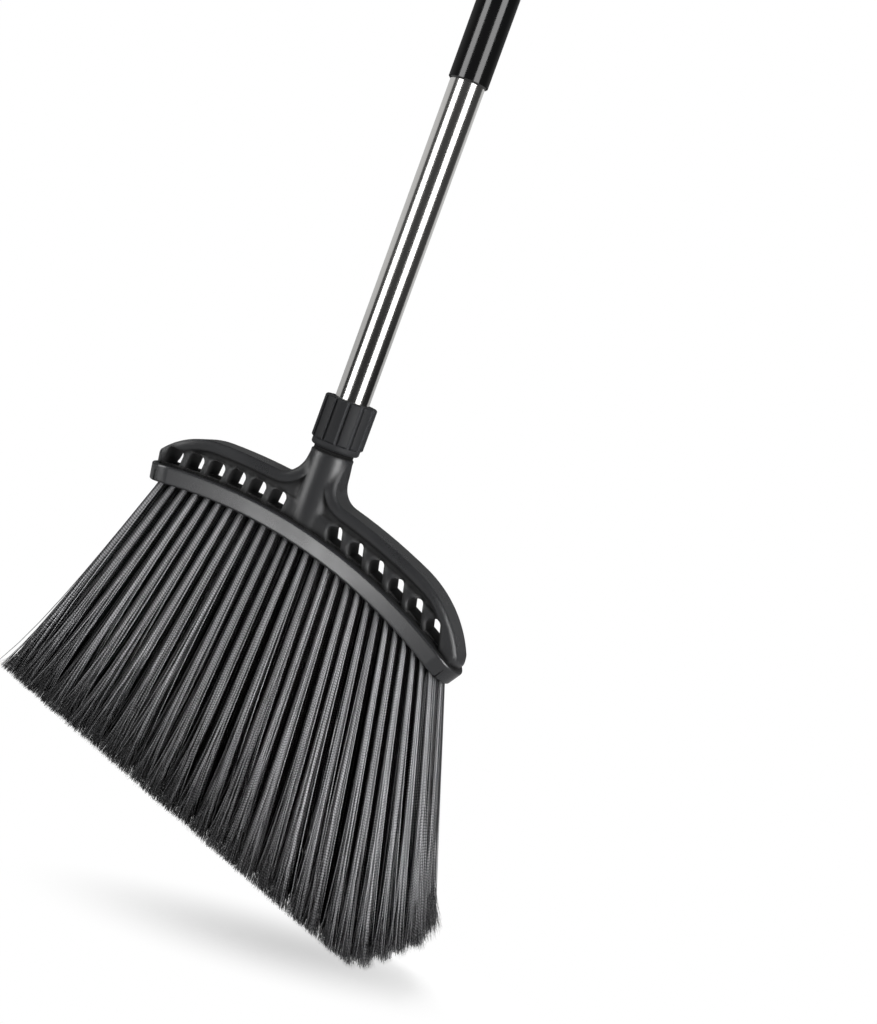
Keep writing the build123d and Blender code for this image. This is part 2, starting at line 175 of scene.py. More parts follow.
class Graph:
    """A node tree, with one method that adds any node and a few short forms of it."""

    def __init__(self, tree: bpy.types.NodeTree) -> None:
        """Hold the tree that nodes are added to."""
        self.tree = tree

    def node(self, kind: str, settings: Options | None = None, **sockets: Any) -> bpy.types.Node:
        """Add a node.

        Args:
            kind: The node's type name.
            settings: Attributes to set first.
            sockets: Values or links of its inputs, by identifier or name with spaces as underscores.

        Returns:
            The new node.
        """
        made = self.tree.nodes.new(kind)
        for name, setting in (settings or {}).items():
            setattr(made, name, setting)
        for name, value in sockets.items():
            self._feed(self._input(made, name), value)
        return made

    def value(self, kind: str, settings: Options | None = None, out: str | int = 0, **sockets: Any) -> Value:
        """Output of a new node, by name or number, ready for arithmetic."""
        return Value(self, self.node(kind, settings, **sockets).outputs[out])

    def math(self, operation: str, first: Operand, second: Operand = 0.0, third: Operand = 0.0) -> Value:
        """Result of a Math node on up to three operands."""
        operands = {"Value": first, "Value_001": second, "Value_002": third}
        return self.value("ShaderNodeMath", {"operation": operation}, **operands)

    def measure(self, operation: str, first: Value, second: Any = (0.0, 0.0, 0.0)) -> Value:
        """Number that a Vector Math node gives for one or two vectors."""
        vectors = {"Vector": first, "Vector_001": second}
        return self.value("ShaderNodeVectorMath", {"operation": operation}, out="Value", **vectors)

    def smoothstep(self, value: Value, start: float, end: float) -> Value:
        """Smooth rise from 0 at the start to 1 at the end."""
        ends = {"From_Min": start, "From_Max": end}
        return self.value("ShaderNodeMapRange", {"interpolation_type": "SMOOTHSTEP"}, Value=value, **ends)

    def mix_colour(self, factor: Operand, first: Any, second: Any) -> Value:
        """Blend of two colours, by the share of the second."""
        sockets = {"Factor_Float": factor, "A_Color": first, "B_Color": second}
        return self.value("ShaderNodeMix", {"data_type": "RGBA"}, out=2, **sockets)

    def mix_shader(self, factor: Value, first: Value, second: Value) -> Value:
        """Blend of two shaders, by the share of the second."""
        return self.value("ShaderNodeMixShader", Fac=factor, Shader=first, Shader_001=second)

    def vector(self, x: Operand, y: Operand, z: Operand) -> Value:
        """Vector of three values."""
        return self.value("ShaderNodeCombineXYZ", X=x, Y=y, Z=z)

    @staticmethod
    def _input(node: bpy.types.Node, name: str) -> bpy.types.NodeSocket:
        """Find an input of a node.

        Args:
            node: The node.
            name: The input's identifier, or its name with spaces as underscores.

        Returns:
            The input.
        """
        for socket in node.inputs:
            if socket.identifier == name:
                return socket
        return node.inputs[name.replace("_", " ")]

    def _feed(self, socket: bpy.types.NodeSocket, value: Any) -> None:
        """Link a value to an input, or set the input to a constant.

        Args:
            socket: The input.
            value: A value of this graph, or a constant.
        """
        if isinstance(value, Value):
            self.tree.links.new(value.socket, socket)
        elif socket.type == "RGBA" and len(value) == 3:
            socket.default_value = (*value, 1.0)
        else:
            socket.default_value = value


@dataclass(frozen=True)
class Finish:
    """A finish with its colour; each kind of finish has its own shader."""

    name: str
    colour: Colour

    def material(self) -> bpy.types.Material:
        """Make the finish's material.

        Returns:
            The node material.
        """
        made = bpy.data.materials.new(self.name)
        made.use_nodes = True
        graph = Graph(made.node_tree)
        graph.tree.nodes.clear()
        graph.node("ShaderNodeOutputMaterial", Surface=self.shader(graph))
        return made

    def shader(self, graph: Graph) -> Value:
        """The finish's shader, made in the material's graph."""
        raise NotImplementedError

    def place(self, graph: Graph) -> Value:
        """Place on the object, as coordinates in metres."""
        return graph.value("ShaderNodeTexCoord", out="Object")

    def noise(self, graph: Graph, grain: float, detail: float = 2.0, stretch: float = 1.0) -> Value:
        """Noise from 0 to 1, with a grain, octaves of finer detail and a stretch along the handle."""
        place = graph.value("ShaderNodeMapping", Vector=self.place(graph), Scale=(1.0, 1.0, 1.0 / stretch))
        return graph.value("ShaderNodeTexNoise", Vector=place, Scale=1.0 / grain, Detail=detail)

    def shaded(self, share: float) -> Colour:
        """The finish's colour times a share."""
        return tuple(channel * share for channel in self.colour)

    def tinted(self, graph: Graph, shade: Operand, spread: float) -> Value:
        """The finish's colour, darkened at shade 0 and lightened at shade 1 by the spread's share."""
        return graph.mix_colour(shade, self.shaded(1.0 - spread), self.shaded(1.0 + spread))


@dataclass(frozen=True)
class SolidFinish(Finish):
    """A solid piece's finish, with a Principled shader; each kind feeds its own sockets."""

    roughness: float

    def shader(self, graph: Graph) -> Value:
        """The Principled shader."""
        return graph.value("ShaderNodeBsdfPrincipled", **self.sockets(graph))

    def sockets(self, graph: Graph) -> Options:
        """Values and links of the shader's inputs by name, made in the material's graph."""
        raise NotImplementedError

    def bumped(
        self, graph: Graph, height: Value, depth: float, strength: float, base: Value | None = None
    ) -> Value:
        """Normal of a surface raised by a height from 0 to 1, over a base normal or the surface's own."""
        under = {} if base is None else {"Normal": base}
        return graph.value("ShaderNodeBump", Strength=strength, Distance=depth, Height=height, **under)


@dataclass(frozen=True)
class MouldedPlastic(SolidFinish):
    """Moulded plastic with the grain of its mould, faint handling marks, recesses painted to a share of the
    face colour by ambient occlusion (painted shade where darker, painted light where lighter), and rounded
    edges.
    """

    surface: Surface
    relief: float
    marks: float = 0.12
    sheen: float = 0.5
    recess_reach: float = 15.0 * MM
    # Colour in recesses as a share of the face colour: painted shade below 1, painted light above 1.
    painted_recess_level: float = 0.05
    recess_power: float = 3.6
    recess_rough: float = 0.35
    edge_round: float = 0.8 * MM
    edge_samples: int = 6
    smudge_size: float = 28.0 * MM
    smudge_share: float = 0.7
    tint: float = 0.16
    relief_strength: float = 0.5

    def sockets(self, graph: Graph) -> Options:
        """Values and links of the shader's inputs.

        Args:
            graph: The material's graph.

        Returns:
            Input values by name.
        """
        grain = self.noise(graph, self.surface.value)
        smudge = self.noise(graph, self.smudge_size, detail=4.0)
        # Painted shade: ambient occlusion blends the colour from the face towards the recess level in slots,
        # grooves and hollows.
        occlusion = graph.value("ShaderNodeAmbientOcclusion", out="AO", Distance=self.recess_reach)
        open_share = occlusion**self.recess_power
        uneven = smudge * self.smudge_share + grain * (1.0 - self.smudge_share)
        face = self.tinted(graph, uneven, self.tint)
        matt = (1.0 - open_share) * self.recess_rough
        handled = (smudge - 0.5) * (2 * self.marks) + (grain - 0.5) * self.marks
        rounded = graph.value("ShaderNodeBevel", {"samples": self.edge_samples}, Radius=self.edge_round)
        return {
            "Base_Color": graph.mix_colour(open_share, self.shaded(self.painted_recess_level), face),
            "Specular_IOR_Level": self.sheen,
            "Roughness": handled + matt + self.roughness,
            "Normal": self.bumped(graph, grain, self.relief, self.relief_strength, rounded),
        }


@dataclass(frozen=True)
class PolishedSteel(SolidFinish):
    """Polished drawn tube with faint lines along its length and a light haze."""

    line_size: float = 0.25 * MM
    line_stretch: float = 220.0
    line_depth: float = 0.004 * MM
    line_strength: float = 0.25
    haze_size: float = 22.0 * MM
    haze_stretch: float = 3.0
    tint: float = 0.05
    dulling: float = 0.05

    def sockets(self, graph: Graph) -> Options:
        """Values and links of the shader's inputs.

        Args:
            graph: The material's graph.

        Returns:
            Input values by name.
        """
        lines = self.noise(graph, self.line_size, detail=3.0, stretch=self.line_stretch)
        haze = self.noise(graph, self.haze_size, detail=3.0, stretch=self.haze_stretch)
        return {
            "Base_Color": self.tinted(graph, lines, self.tint),
            "Metallic": 1.0,
            "Roughness": lines * self.dulling + haze * self.dulling + self.roughness,
            "Normal": self.bumped(graph, lines, self.line_depth, self.line_strength),
        }


@dataclass(frozen=True)
class Rubber(SolidFinish):
    """Dull washer rubber with a dusty bloom."""

    bloom_size: float = 3.0 * MM
    bloom_tint: float = 0.3
    bloom_rough: float = 0.15
    pore_size: float = 0.3 * MM
    pore_depth: float = 0.03 * MM
    pore_strength: float = 0.4

    def sockets(self, graph: Graph) -> Options:
        """Values and links of the shader's inputs.

        Args:
            graph: The material's graph.

        Returns:
            Input values by name.
        """
        bloom = self.noise(graph, self.bloom_size, detail=5.0)
        pores = self.noise(graph, self.pore_size)
        return {
            "Base_Color": self.tinted(graph, bloom, self.bloom_tint),
            "Roughness": bloom * self.bloom_rough + self.roughness,
            "Normal": self.bumped(graph, pores, self.pore_depth, self.pore_strength),
        }


@dataclass(frozen=True)
class CrimpedFibre(SolidFinish):
    """Crimped bristle fibre: a fine slanting hatch across each tuft, with painted shade in its folds and near
    the roots, and darker towards the tips.
    """

    dark: Colour
    crest: float = 0.95
    valley: float = 0.35
    sheen: float = 0.3
    tip_shade: float = 0.1
    tip_share: float = 0.38
    tip_soft: float = 0.4
    root_crimp: float = 0.3
    crimp_rise: float = 3.0
    # Painted shade towards the roots: the light level at the root and how fast it rises along the fibre.
    root_light: float = 0.6
    light_rise: float = 2.4
    fold_rough: float = 0.15
    fold_depth: float = 0.12 * MM
    fold_strength: float = 0.35

    def sockets(self, graph: Graph) -> Options:
        """Values and links of the shader's inputs.

        Args:
            graph: The material's graph.

        Returns:
            Input values by name.
        """
        hatch, along, tone = (
            graph.value("ShaderNodeAttribute", {"attribute_name": name}, out="Fac")
            for name in (Tufts.HATCH, Tufts.ALONG, Tufts.TONE)
        )
        crimp = graph.math("MINIMUM", along * self.crimp_rise + self.root_crimp, 1.0)
        # The hatch wave darkens the colour in the crimp's folds: painted shade, over the folds' real bump.
        wave = graph.math("SINE", hatch * math.tau) * crimp * 0.5 + 0.5
        # Painted shade near the roots, under the head: the colour is darker close to the rim.
        painted_root_shade = graph.math("MINIMUM", along * self.light_rise + self.root_light, 1.0)
        # Darker towards the tips, over the last tip_share of each fibre.
        tip_darkening = graph.math("SMOOTH_MIN", (1.0 - along) / self.tip_share, 1.0, self.tip_soft)
        tip_darkening = tip_darkening * (1.0 - self.tip_shade) + self.tip_shade
        light = tone * (wave * self.crest + self.valley) * painted_root_shade * tip_darkening
        return {
            "Base_Color": graph.mix_colour(light, self.dark, self.colour),
            "Specular_IOR_Level": self.sheen,
            "Roughness": (1.0 - wave) * self.fold_rough + self.roughness,
            "Normal": self.bumped(graph, wave, self.fold_depth, self.fold_strength),
        }


@dataclass(frozen=True)
class PaleFloor(Finish):
    """Pale lit studio floor: white to the camera apart from a soft band of shadow, and dim to other rays. The
    band is a painted mask: inside it the floor light's cast shadow shows, outside it the floor is plain white.

    A painted pool of light, a glow round the contact, shows in gloss alone.
    """

    glow: float = 0.61
    contact: tuple[float, float, float] = (0.09, -0.031, 0.0)
    shadow_turn: float = math.radians(25.0)
    shadow_width: float = 0.33
    shadow_length: float = 0.18
    dim: float = 0.15
    pool_glow: float = 0.44
    pool_reach: float = 0.95
    pool_end: float = 1.7
    mottle_size: float = 120.0 * MM
    mottle_tint: float = 0.01

    def shader(self, graph: Graph) -> Value:
        """The finish's shader.

        Args:
            graph: The material's graph.

        Returns:
            A blend of what the camera sees and what other rays meet.
        """
        mottle = self.noise(graph, self.mottle_size, detail=3.0)
        lit = graph.value("ShaderNodeBsdfDiffuse", Color=self.tinted(graph, mottle, self.mottle_tint))
        glow = graph.value("ShaderNodeEmission", Strength=self.glow)
        near = graph.value("ShaderNodeAddShader", Shader=lit, Shader_001=glow)
        white = graph.value("ShaderNodeEmission")
        flat = {"Vector": self.place(graph), "Vector_001": (1.0, 1.0, 0.0)}
        level = graph.value("ShaderNodeVectorMath", {"operation": "MULTIPLY"}, **flat)
        # Painted shadow band: a mask limits where the floor light's shadow shows.
        band = graph.value(
            "ShaderNodeMapping",
            {"vector_type": "TEXTURE"},
            Vector=level,
            Location=self.contact,
            Rotation=(0.0, 0.0, self.shadow_turn),
            Scale=(1.0, self.shadow_width, 1.0),
        )
        painted_shadow_mask = graph.smoothstep(graph.measure("LENGTH", band), 0.0, self.shadow_length)
        shown = graph.mix_shader(painted_shadow_mask, near, white)
        bounce = graph.value("ShaderNodeBsdfDiffuse", Color=self.shaded(self.dim))
        # Painted pool of light, a glow that only glossy rays see.
        pool = graph.value("ShaderNodeEmission", Strength=self.pool_glow)
        away = graph.measure("DISTANCE", level, self.contact)
        spread = graph.smoothstep(away, self.pool_end, self.pool_reach)
        glossy_ray = graph.value("ShaderNodeLightPath", out="Is Glossy Ray")
        mirrored = graph.mix_shader(spread * glossy_ray, bounce, pool)
        camera_ray = graph.value("ShaderNodeLightPath", out="Is Camera Ray")
        return graph.mix_shader(camera_ray, mirrored, shown)


def linked(name: str, data: bpy.types.ID) -> Piece:
    """New object at the origin, linked to the scene.

    Args:
        name: The object's name.
        data: Its mesh, light or camera.

    Returns:
        The object.
    """
    made = bpy.data.objects.new(name, data)
    bpy.context.scene.collection.objects.link(made)
    return made


def grown(name: str, tree: bpy.types.NodeTree, sizes: Options) -> Piece:
    """Grow a piece with a geometry tree, then keep it as a plain mesh.

    Args:
        name: The piece's name.
        tree: The geometry tree.
        sizes: Values of the tree's named inputs.

    Returns:
        The piece, with its mesh and no modifier.
    """
    piece = linked(name, bpy.data.meshes.new(name))
    modifier = piece.modifiers.new(tree.name, "NODES")
    modifier.node_group = tree
    for item in tree.interface.items_tree:
        if item.item_type == "SOCKET" and item.in_out == "INPUT":
            modifier[item.identifier] = sizes[item.name]
    graph = bpy.context.evaluated_depsgraph_get()
    mesh = bpy.data.meshes.new_from_object(
        piece.evaluated_get(graph), preserve_all_data_layers=True, depsgraph=graph
    )
    piece.modifiers.clear()
    piece.data = mesh
    mesh.name = piece.name
    return piece


def new_tree(name: str, numbers: list[str], counts: list[str]) -> tuple[Graph, dict[str, Value]]:
    """Geometry tree with named inputs and one geometry output.

    Args:
        name: The tree's name.
        numbers: Names of the inputs that are sizes.
        counts: Names of the inputs that are whole numbers.

    Returns:
        The graph and its inputs by name, with the material as "Material".
    """
    tree = bpy.data.node_groups.new(name, "GeometryNodeTree")
    for number in numbers:
        tree.interface.new_socket(number, in_out="INPUT", socket_type="NodeSocketFloat")
    for count in counts:
        tree.interface.new_socket(count, in_out="INPUT", socket_type="NodeSocketInt")
    tree.interface.new_socket("Material", in_out="INPUT", socket_type="NodeSocketMaterial")
    tree.interface.new_socket("Geometry", in_out="OUTPUT", socket_type="NodeSocketGeometry")
    graph = Graph(tree)
    entry = graph.node("NodeGroupInput")
    names = [*numbers, *counts, "Material"]
    return graph, {each: Value(graph, entry.outputs[each]) for each in names}


def end_tree(graph: Graph, geometry: Value, material: Value) -> None:
    """End a geometry tree: realised, smooth and with its material.

    Args:
        graph: The tree's graph.
        geometry: What the tree has made.
        material: The material that it gets.
    """
    real = graph.value("GeometryNodeRealizeInstances", Geometry=geometry)
    smooth = graph.value("GeometryNodeSetShadeSmooth", Geometry=real)
    dressed = graph.value("GeometryNodeSetMaterial", Geometry=smooth, Material=material)
    graph.node("NodeGroupOutput", Geometry=dressed)


@dataclass
class HeadArc:
    """The arc that the head's rim follows, placed from the collar's foot."""

    radius: float = 338.0 * MM
    head_angle: float = math.radians(11.8)
    neck_angle: float = math.radians(9.75)
    neck_drop: float = 49.6 * MM
    collar_foot: float = field(init=False)

    def __post_init__(self) -> None:
        """Take the collar's foot from the frame."""
        self.collar_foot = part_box("collar")[0].z

    @property
    def centre(self) -> tuple[float, float]:
        """Centre of the arc on the head's plane, as (x, z)."""
        drop = self.neck_drop + self.radius * math.cos(self.neck_angle)
        return -self.radius * math.sin(self.neck_angle), self.collar_foot - drop


@dataclass(frozen=True)
class FibreSizes:
    """Fibres of a tuft: their form, how they stray, and the one rider that parts from the others."""

    count: int = 80
    points: int = 9
    radius: float = 0.29 * MM
    taper: float = 0.45
    trim: float = 0.8 * MM
    tuft_trim: float = 0.7 * MM
    tuft_lean: float = 0.008
    tuft_flare: float = 0.003
    stray_lean: float = math.radians(0.8)
    stray_power: float = 7.0
    fray_power: float = 4.0
    fray_side: float = 6.5 * MM
    fray_depth: float = 4.5 * MM
    fray_held: float = 0.4
    bow: float = 0.4 * MM
    rider_side: float = 0.8
    rider_depth: float = 0.6
    rider_lean: float = math.radians(1.2)
    rider_range: tuple[float, float] = (0.6, 1.4)
    rider_power: float = 4.0


@dataclass(frozen=True)
class TuftTones:
    """Painted light and shade over a tuft: a painted lit side, a painted dark far side, a lighter long side of
    the row, and chance from fibre to fibre.
    """

    lit_start: float = 0.65
    lit_width: float = 0.8
    lit_shift: float = 0.5
    lit_power: float = 1.5
    far_start: float = 0.85
    far_width: float = 0.3
    least: float = 0.1
    short_side: float = 0.92
    long_gain: float = 0.22
    fibre_range: tuple[float, float] = (0.8, 1.2)
    tuft_range: tuple[float, float] = (0.8, 1.15)


@dataclass(frozen=True)
class SplitEndSizes:
    """Split ends that fluff out round a tuft's tip."""

    count: int = 340
    points: int = 2
    length: float = 24.0 * MM
    shortest: float = 0.35
    radius: float = 0.14 * MM
    taper: float = 0.85
    spread: float = 6.5 * MM
    trim: tuple[float, float] = (-1.3 * MM, 0.78 * MM)
    start: float = 0.9
    tones: tuple[float, float] = (0.08, 0.7)


@dataclass
class Tufts:
    """Four rows of tufts, fanned out from the rim and cut to the slanted sweeping edge."""

    arc: HeadArc
    finish: Finish
    fibre: FibreSizes = FibreSizes()
    tones: TuftTones = TuftTones()
    split: SplitEndSizes = SplitEndSizes()
    foot_radius: float = 326.8 * MM
    strip_height: float = 7.0 * MM
    strip_width: float = 7.3 * MM
    strip_points: int = 48
    pocket_half: float = 120.0 * MM
    pocket_end: float = 15.0 * MM
    row_places: tuple[float, ...] = (-11.25 * MM, -3.75 * MM, 3.75 * MM, 11.25 * MM)
    tuft_pitch: float = 8.2 * MM
    tuft_margin: float = 5.5 * MM
    tube_sides: int = 3
    root_radius: float = 2.0 * MM
    root_depth: float = 2.5 * MM
    inner_width: float = 1.7
    inner_shade: float = 0.7
    splay: float = math.radians(0.45)
    outer_fan: float = math.radians(0.9)
    inner_fan: float = math.radians(1.5)
    lean_left: float = math.radians(-18.5)
    lean_right: float = math.radians(18.0)
    row_flare: float = math.radians(4.5)
    sweep_drop: float = 251.0 * MM
    sweep_tilt: float = math.radians(15.7)
    corner_reach: float = 129.0 * MM
    corner_tilt: float = math.radians(45.0)
    corner_round: float = 14.0 * MM
    edge_slope: float = 0.25
    crimp_pitch: float = 1.7 * MM
    crimp_slant: float = 0.8
    tip_light: float = 0.1
    seed: int = 11
    seed_step: float = 32.0
    graph: Graph = field(init=False)
    inputs: dict[str, Value] = field(init=False)

    HATCH = "hatch"
    ALONG = "along"
    TONE = "tone"

    def build(self) -> list[Piece]:
        """Grow every row.

        Returns:
            The rows, each riding on the head and standing for its CAD row.
        """
        tree = self.tree()
        material = self.finish.material()
        rows = []
        outermost = max(self.row_places)
        for number, place in enumerate(self.row_places, start=1):
            end = math.sqrt(self.pocket_end**2 - place**2)
            strip_half = self.pocket_half - self.pocket_end + end
            half = strip_half - self.tuft_margin
            steps = int(2 * half / self.tuft_pitch)
            shift = (number - 1) % 2
            outer = abs(place) == outermost
            sizes = {
                "Row Place": place,
                "Flare": self.row_flare * place / self.pocket_end,
                "Fan": self.outer_fan if outer else self.inner_fan,
                "Half Length": half,
                "Half Width": self.root_radius * (1.0 if outer else self.inner_width),
                "Strip Half": strip_half,
                "Shift": shift / 2,
                # Inner rows are darkened: painted shade between the rows.
                "Shade": 1.0 if outer else self.inner_shade,
                "Steps": steps,
                "Tufts": steps + 1 - shift,
                "Fibres": self.fibre.count,
                "Flags": self.split.count,
                "Seed": self.seed + number,
                "Material": material,
            }
            row = grown(f"bristles_{number}", tree, sizes)
            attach(row, Body.HEAD.value)
            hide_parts(f"bristle_row_{number}")
            rows.append(row)
        return rows

    def tree(self) -> bpy.types.NodeTree:
        """Geometry tree of one row: its tufts, the split ends at their tips and its strip.

        Returns:
            The tree, with the row's place, length, shade and counts as inputs.
        """
        self.graph, self.inputs = new_tree(
            "tuft_row",
            ["Row Place", "Flare", "Fan", "Half Length", "Half Width", "Strip Half", "Shift", "Shade"],
            ["Steps", "Tufts", "Fibres", "Flags", "Seed"],
        )
        joined = self.graph.node("GeometryNodeJoinGeometry")
        for part in (self.fibre_mesh(), self.split_mesh(), self.strip_mesh()):
            self.graph.tree.links.new(part.socket, joined.inputs[0])
        end_tree(self.graph, Value(self.graph, joined.outputs[0]), self.inputs["Material"])
        return self.graph.tree

    def scatter(self, low: float, high: float, each: Value, draw: Draw) -> Value:
        """Random number from low to high, for each tuft, fibre or split end."""
        drawn = {"Min_001": low, "Max_001": high, "Seed": self.inputs["Seed"] * self.seed_step + draw.value}
        return self.graph.value("FunctionNodeRandomValue", {"data_type": "FLOAT"}, out=1, ID=each, **drawn)

    def strokes(self, kind: str, points: int) -> tuple[Value, Value, Value, Value, Value]:
        """Many copies of one line, ready to be placed.

        Args:
            kind: Name of the input that says how many of them a tuft has.
            points: Points along each.

        Returns:
            The curves, the share along each, its number, its tuft and the tuft's share of the row.
        """
        graph = self.graph
        amount = self.inputs["Tufts"] * self.inputs[kind]
        line = graph.value("GeometryNodeCurvePrimitiveLine", End=(0.0, 0.0, -1.0))
        fine = graph.value("GeometryNodeResampleCurve", Curve=line, Count=points)
        copies = graph.node("GeometryNodeDuplicateElements", {"domain": "SPLINE"}, Geometry=fine, Amount=amount)
        curves, number = (Value(graph, copies.outputs[name]) for name in ("Geometry", "Duplicate Index"))
        along = graph.value("GeometryNodeSplineParameter", out="Factor")
        tuft = graph.math("FLOOR", number / self.inputs[kind])
        return curves, along, number, tuft, (tuft + self.inputs["Shift"]) / self.inputs["Steps"]

    def mouth(self, share: Value, side: Value, depth: Value) -> Triple:
        """Where a fibre leaves its strip.

        Args:
            share: Share of the row's length.
            side: Offset along the rim, in half widths of the tuft.
            depth: Offset from front to back, in half widths of the tuft.

        Returns:
            The x, y and z of the place.
        """
        half = self.inputs["Half Width"]
        angle = (share * 2.0 - 1.0) * self.inputs["Half Length"] / self.arc.radius + self.arc.head_angle
        sine = self.graph.math("SINE", angle)
        cosine = self.graph.math("COSINE", angle)
        centre_x, centre_z = self.arc.centre
        return (
            sine * self.foot_radius + cosine * side * half + centre_x,
            self.inputs["Row Place"] + depth * half,
            cosine * self.foot_radius - sine * side * half + centre_z,
        )

    def lean(self, share: Value, side: Value) -> Value:
        """Sideways lean of a fibre, by its share of the row and its side of the tuft."""
        return share * (self.lean_right - self.lean_left) + self.lean_left + side * self.splay

    def reach(self, mouth: Triple, run_x: Value) -> Value:
        """Fall from a fibre's mouth to the slanted sweeping edge or its cut corner.

        Args:
            mouth: Where the fibre leaves its strip.
            run_x: Sideways run for each length of fall.

        Returns:
            The fall.
        """
        sweep = math.tan(self.sweep_tilt)
        corner = math.tan(self.corner_tilt)
        drop = mouth[2] - (self.arc.collar_foot - self.sweep_drop)
        to_sweep = (drop + mouth[0] * sweep) / (1.0 - run_x * sweep)
        beyond = drop + sweep * self.corner_reach + (self.corner_reach - mouth[0]) * corner
        to_corner = beyond / (run_x * corner + 1.0)
        return self.graph.math("SMOOTH_MIN", to_sweep, to_corner, self.corner_round)

    def laid(
        self, lines: Value, mouth: Triple, run: Pair, fall: Value, stray: Pair, slant: Value, rounded: Operand
    ) -> Value:
        """Lay lines from their mouths down to the sweeping edge, which is rounded from front to back.

        Args:
            lines: The lines.
            mouth: Where each leaves its strip.
            run: Run sideways and from front to back, for each length of fall.
            fall: Fall from the strip.
            stray: How far each strays sideways and from front to back.
            slant: Share of the edge's slant that a sideways stray follows.
            rounded: Share of the edge's rounding that each takes.

        Returns:
            The placed curves.
        """
        row = self.inputs["Row Place"]
        y = mouth[1] + run[1] * fall + stray[1]
        middle = self.graph.math("TANGENT", self.inputs["Flare"]) * fall + row
        rise = (y - middle) * self.graph.math("SIGN", row) * rounded * self.edge_slope
        z = mouth[2] - fall - stray[0] * slant * math.tan(self.sweep_tilt) + rise
        placed = self.graph.vector(mouth[0] + run[0] * fall + stray[0], y, z)
        return self.graph.value("GeometryNodeSetPosition", Geometry=lines, Position=placed)

    def tubes(self, curve: Value, stored: dict[str, Value], radius: float, scale: Value) -> Value:
        """Placed curves as thin tubes that carry the finish's attributes.

        Args:
            curve: The curves.
            stored: Attributes by name.
            radius: Radius of a tube.
            scale: Share of the radius along each curve.

        Returns:
            The tubes' mesh.
        """
        kind = {"data_type": "FLOAT", "domain": "POINT"}
        for name, value in stored.items():
            kept = {"Geometry": curve, "Name": name, "Value": value}
            curve = self.graph.value("GeometryNodeStoreNamedAttribute", kind, **kept)
        ring = self.graph.value("GeometryNodeCurvePrimitiveCircle", Resolution=self.tube_sides, Radius=radius)
        swept = {"Curve": curve, "Profile_Curve": ring, "Scale": scale, "Fill_Caps": True}
        return self.graph.value("GeometryNodeCurveToMesh", **swept)

    def fibre_mesh(self) -> Value:
        """Fibres of a row as thin tapering tubes, each tuft with one rider that parts from it lower down.

        Returns:
            The fibres' mesh.
        """
        graph, inputs, scatter = self.graph, self.inputs, self.scatter
        fibre, tones = self.fibre, self.tones
        lines, along, index, tuft, share = self.strokes("Fibres", fibre.points)
        member = index - tuft * inputs["Fibres"]
        long_side = share**2.0

        rider = graph.math("LESS_THAN", member, 0.5)
        turn = member * GOLDEN_ANGLE + scatter(0.0, math.tau, tuft, Draw.TUFT_TURN)
        spread = graph.math("SQRT", (member + 0.5) / inputs["Fibres"])
        outward = graph.math("SIGN", inputs["Row Place"]) * fibre.rider_depth
        side = graph.math("COSINE", turn) * spread * (1.0 - rider) + rider * fibre.rider_side
        depth = graph.math("SINE", turn) * spread * (1.0 - rider) + rider * outward
        mouth = self.mouth(share, side, depth)

        parted = scatter(*fibre.rider_range, tuft, Draw.RIDER_LEAN) * (1.0 - share**fibre.rider_power)
        lean = (
            self.lean(share, side)
            + rider * parted * fibre.rider_lean
            + scatter(-fibre.tuft_lean, fibre.tuft_lean, tuft, Draw.TUFT_LEAN)
            + scatter(-1.0, 1.0, index, Draw.FIBRE_STRAY) ** fibre.stray_power * fibre.stray_lean
        )
        off_flare = scatter(-fibre.tuft_flare, fibre.tuft_flare, tuft, Draw.TUFT_FLARE)
        flare = inputs["Flare"] + depth * inputs["Fan"] + off_flare
        run = graph.math("TANGENT", lean), graph.math("TANGENT", flare)
        trim = scatter(-fibre.trim, 0.0, index, Draw.FIBRE_TRIM)
        trim = trim + scatter(-fibre.tuft_trim, fibre.tuft_trim, tuft, Draw.TUFT_TRIM)
        reach = self.reach(mouth, run[0]) + trim
        fall = (reach + self.root_depth) * along - self.root_depth

        fray = along**fibre.fray_power
        bow = along * (1.0 - along) * 4.0
        fray_side = fray * (1.0 - long_side * fibre.fray_held) * fibre.fray_side
        stray = (
            scatter(-1.0, 1.0, index, Draw.FRAY_SIDE) * fray_side
            + bow * scatter(-fibre.bow, fibre.bow, tuft, Draw.BOW_SIDE),
            scatter(-1.0, 1.0, index, Draw.FRAY_DEPTH) * fray * fibre.fray_depth
            + bow * scatter(-fibre.bow, fibre.bow, tuft, Draw.BOW_DEPTH),
        )
        curve = self.laid(lines, mouth, run, fall, stray, fray, along)

        # Painted light and shade: each tuft's lit side, its dark far side and the row's lighter long side are
        # painted into the tone.
        towards = (side + long_side * tones.lit_shift + tones.lit_start) / tones.lit_width
        lit_side = graph.value("ShaderNodeClamp", Value=towards) ** tones.lit_power
        far_side = graph.value("ShaderNodeClamp", Value=(tones.far_start - side) / tones.far_width)
        body = (lit_side * far_side * (1.0 - tones.least) + tones.least) * (1.0 - rider) + rider
        crimp_start = scatter(0.0, 1.0, tuft, Draw.CRIMP_START)
        stored = {
            self.HATCH: fall / self.crimp_pitch - side * self.crimp_slant + crimp_start,
            # Painted light: the tips on the row's long side darken less.
            self.ALONG: along * (1.0 - long_side * self.tip_light),
            self.TONE: body
            * inputs["Shade"]
            * (long_side * tones.long_gain + tones.short_side)
            * scatter(*tones.fibre_range, index, Draw.FIBRE_TONE)
            * scatter(*tones.tuft_range, tuft, Draw.TUFT_TONE),
        }
        return self.tubes(curve, stored, fibre.radius, 1.0 - fray * fibre.taper)

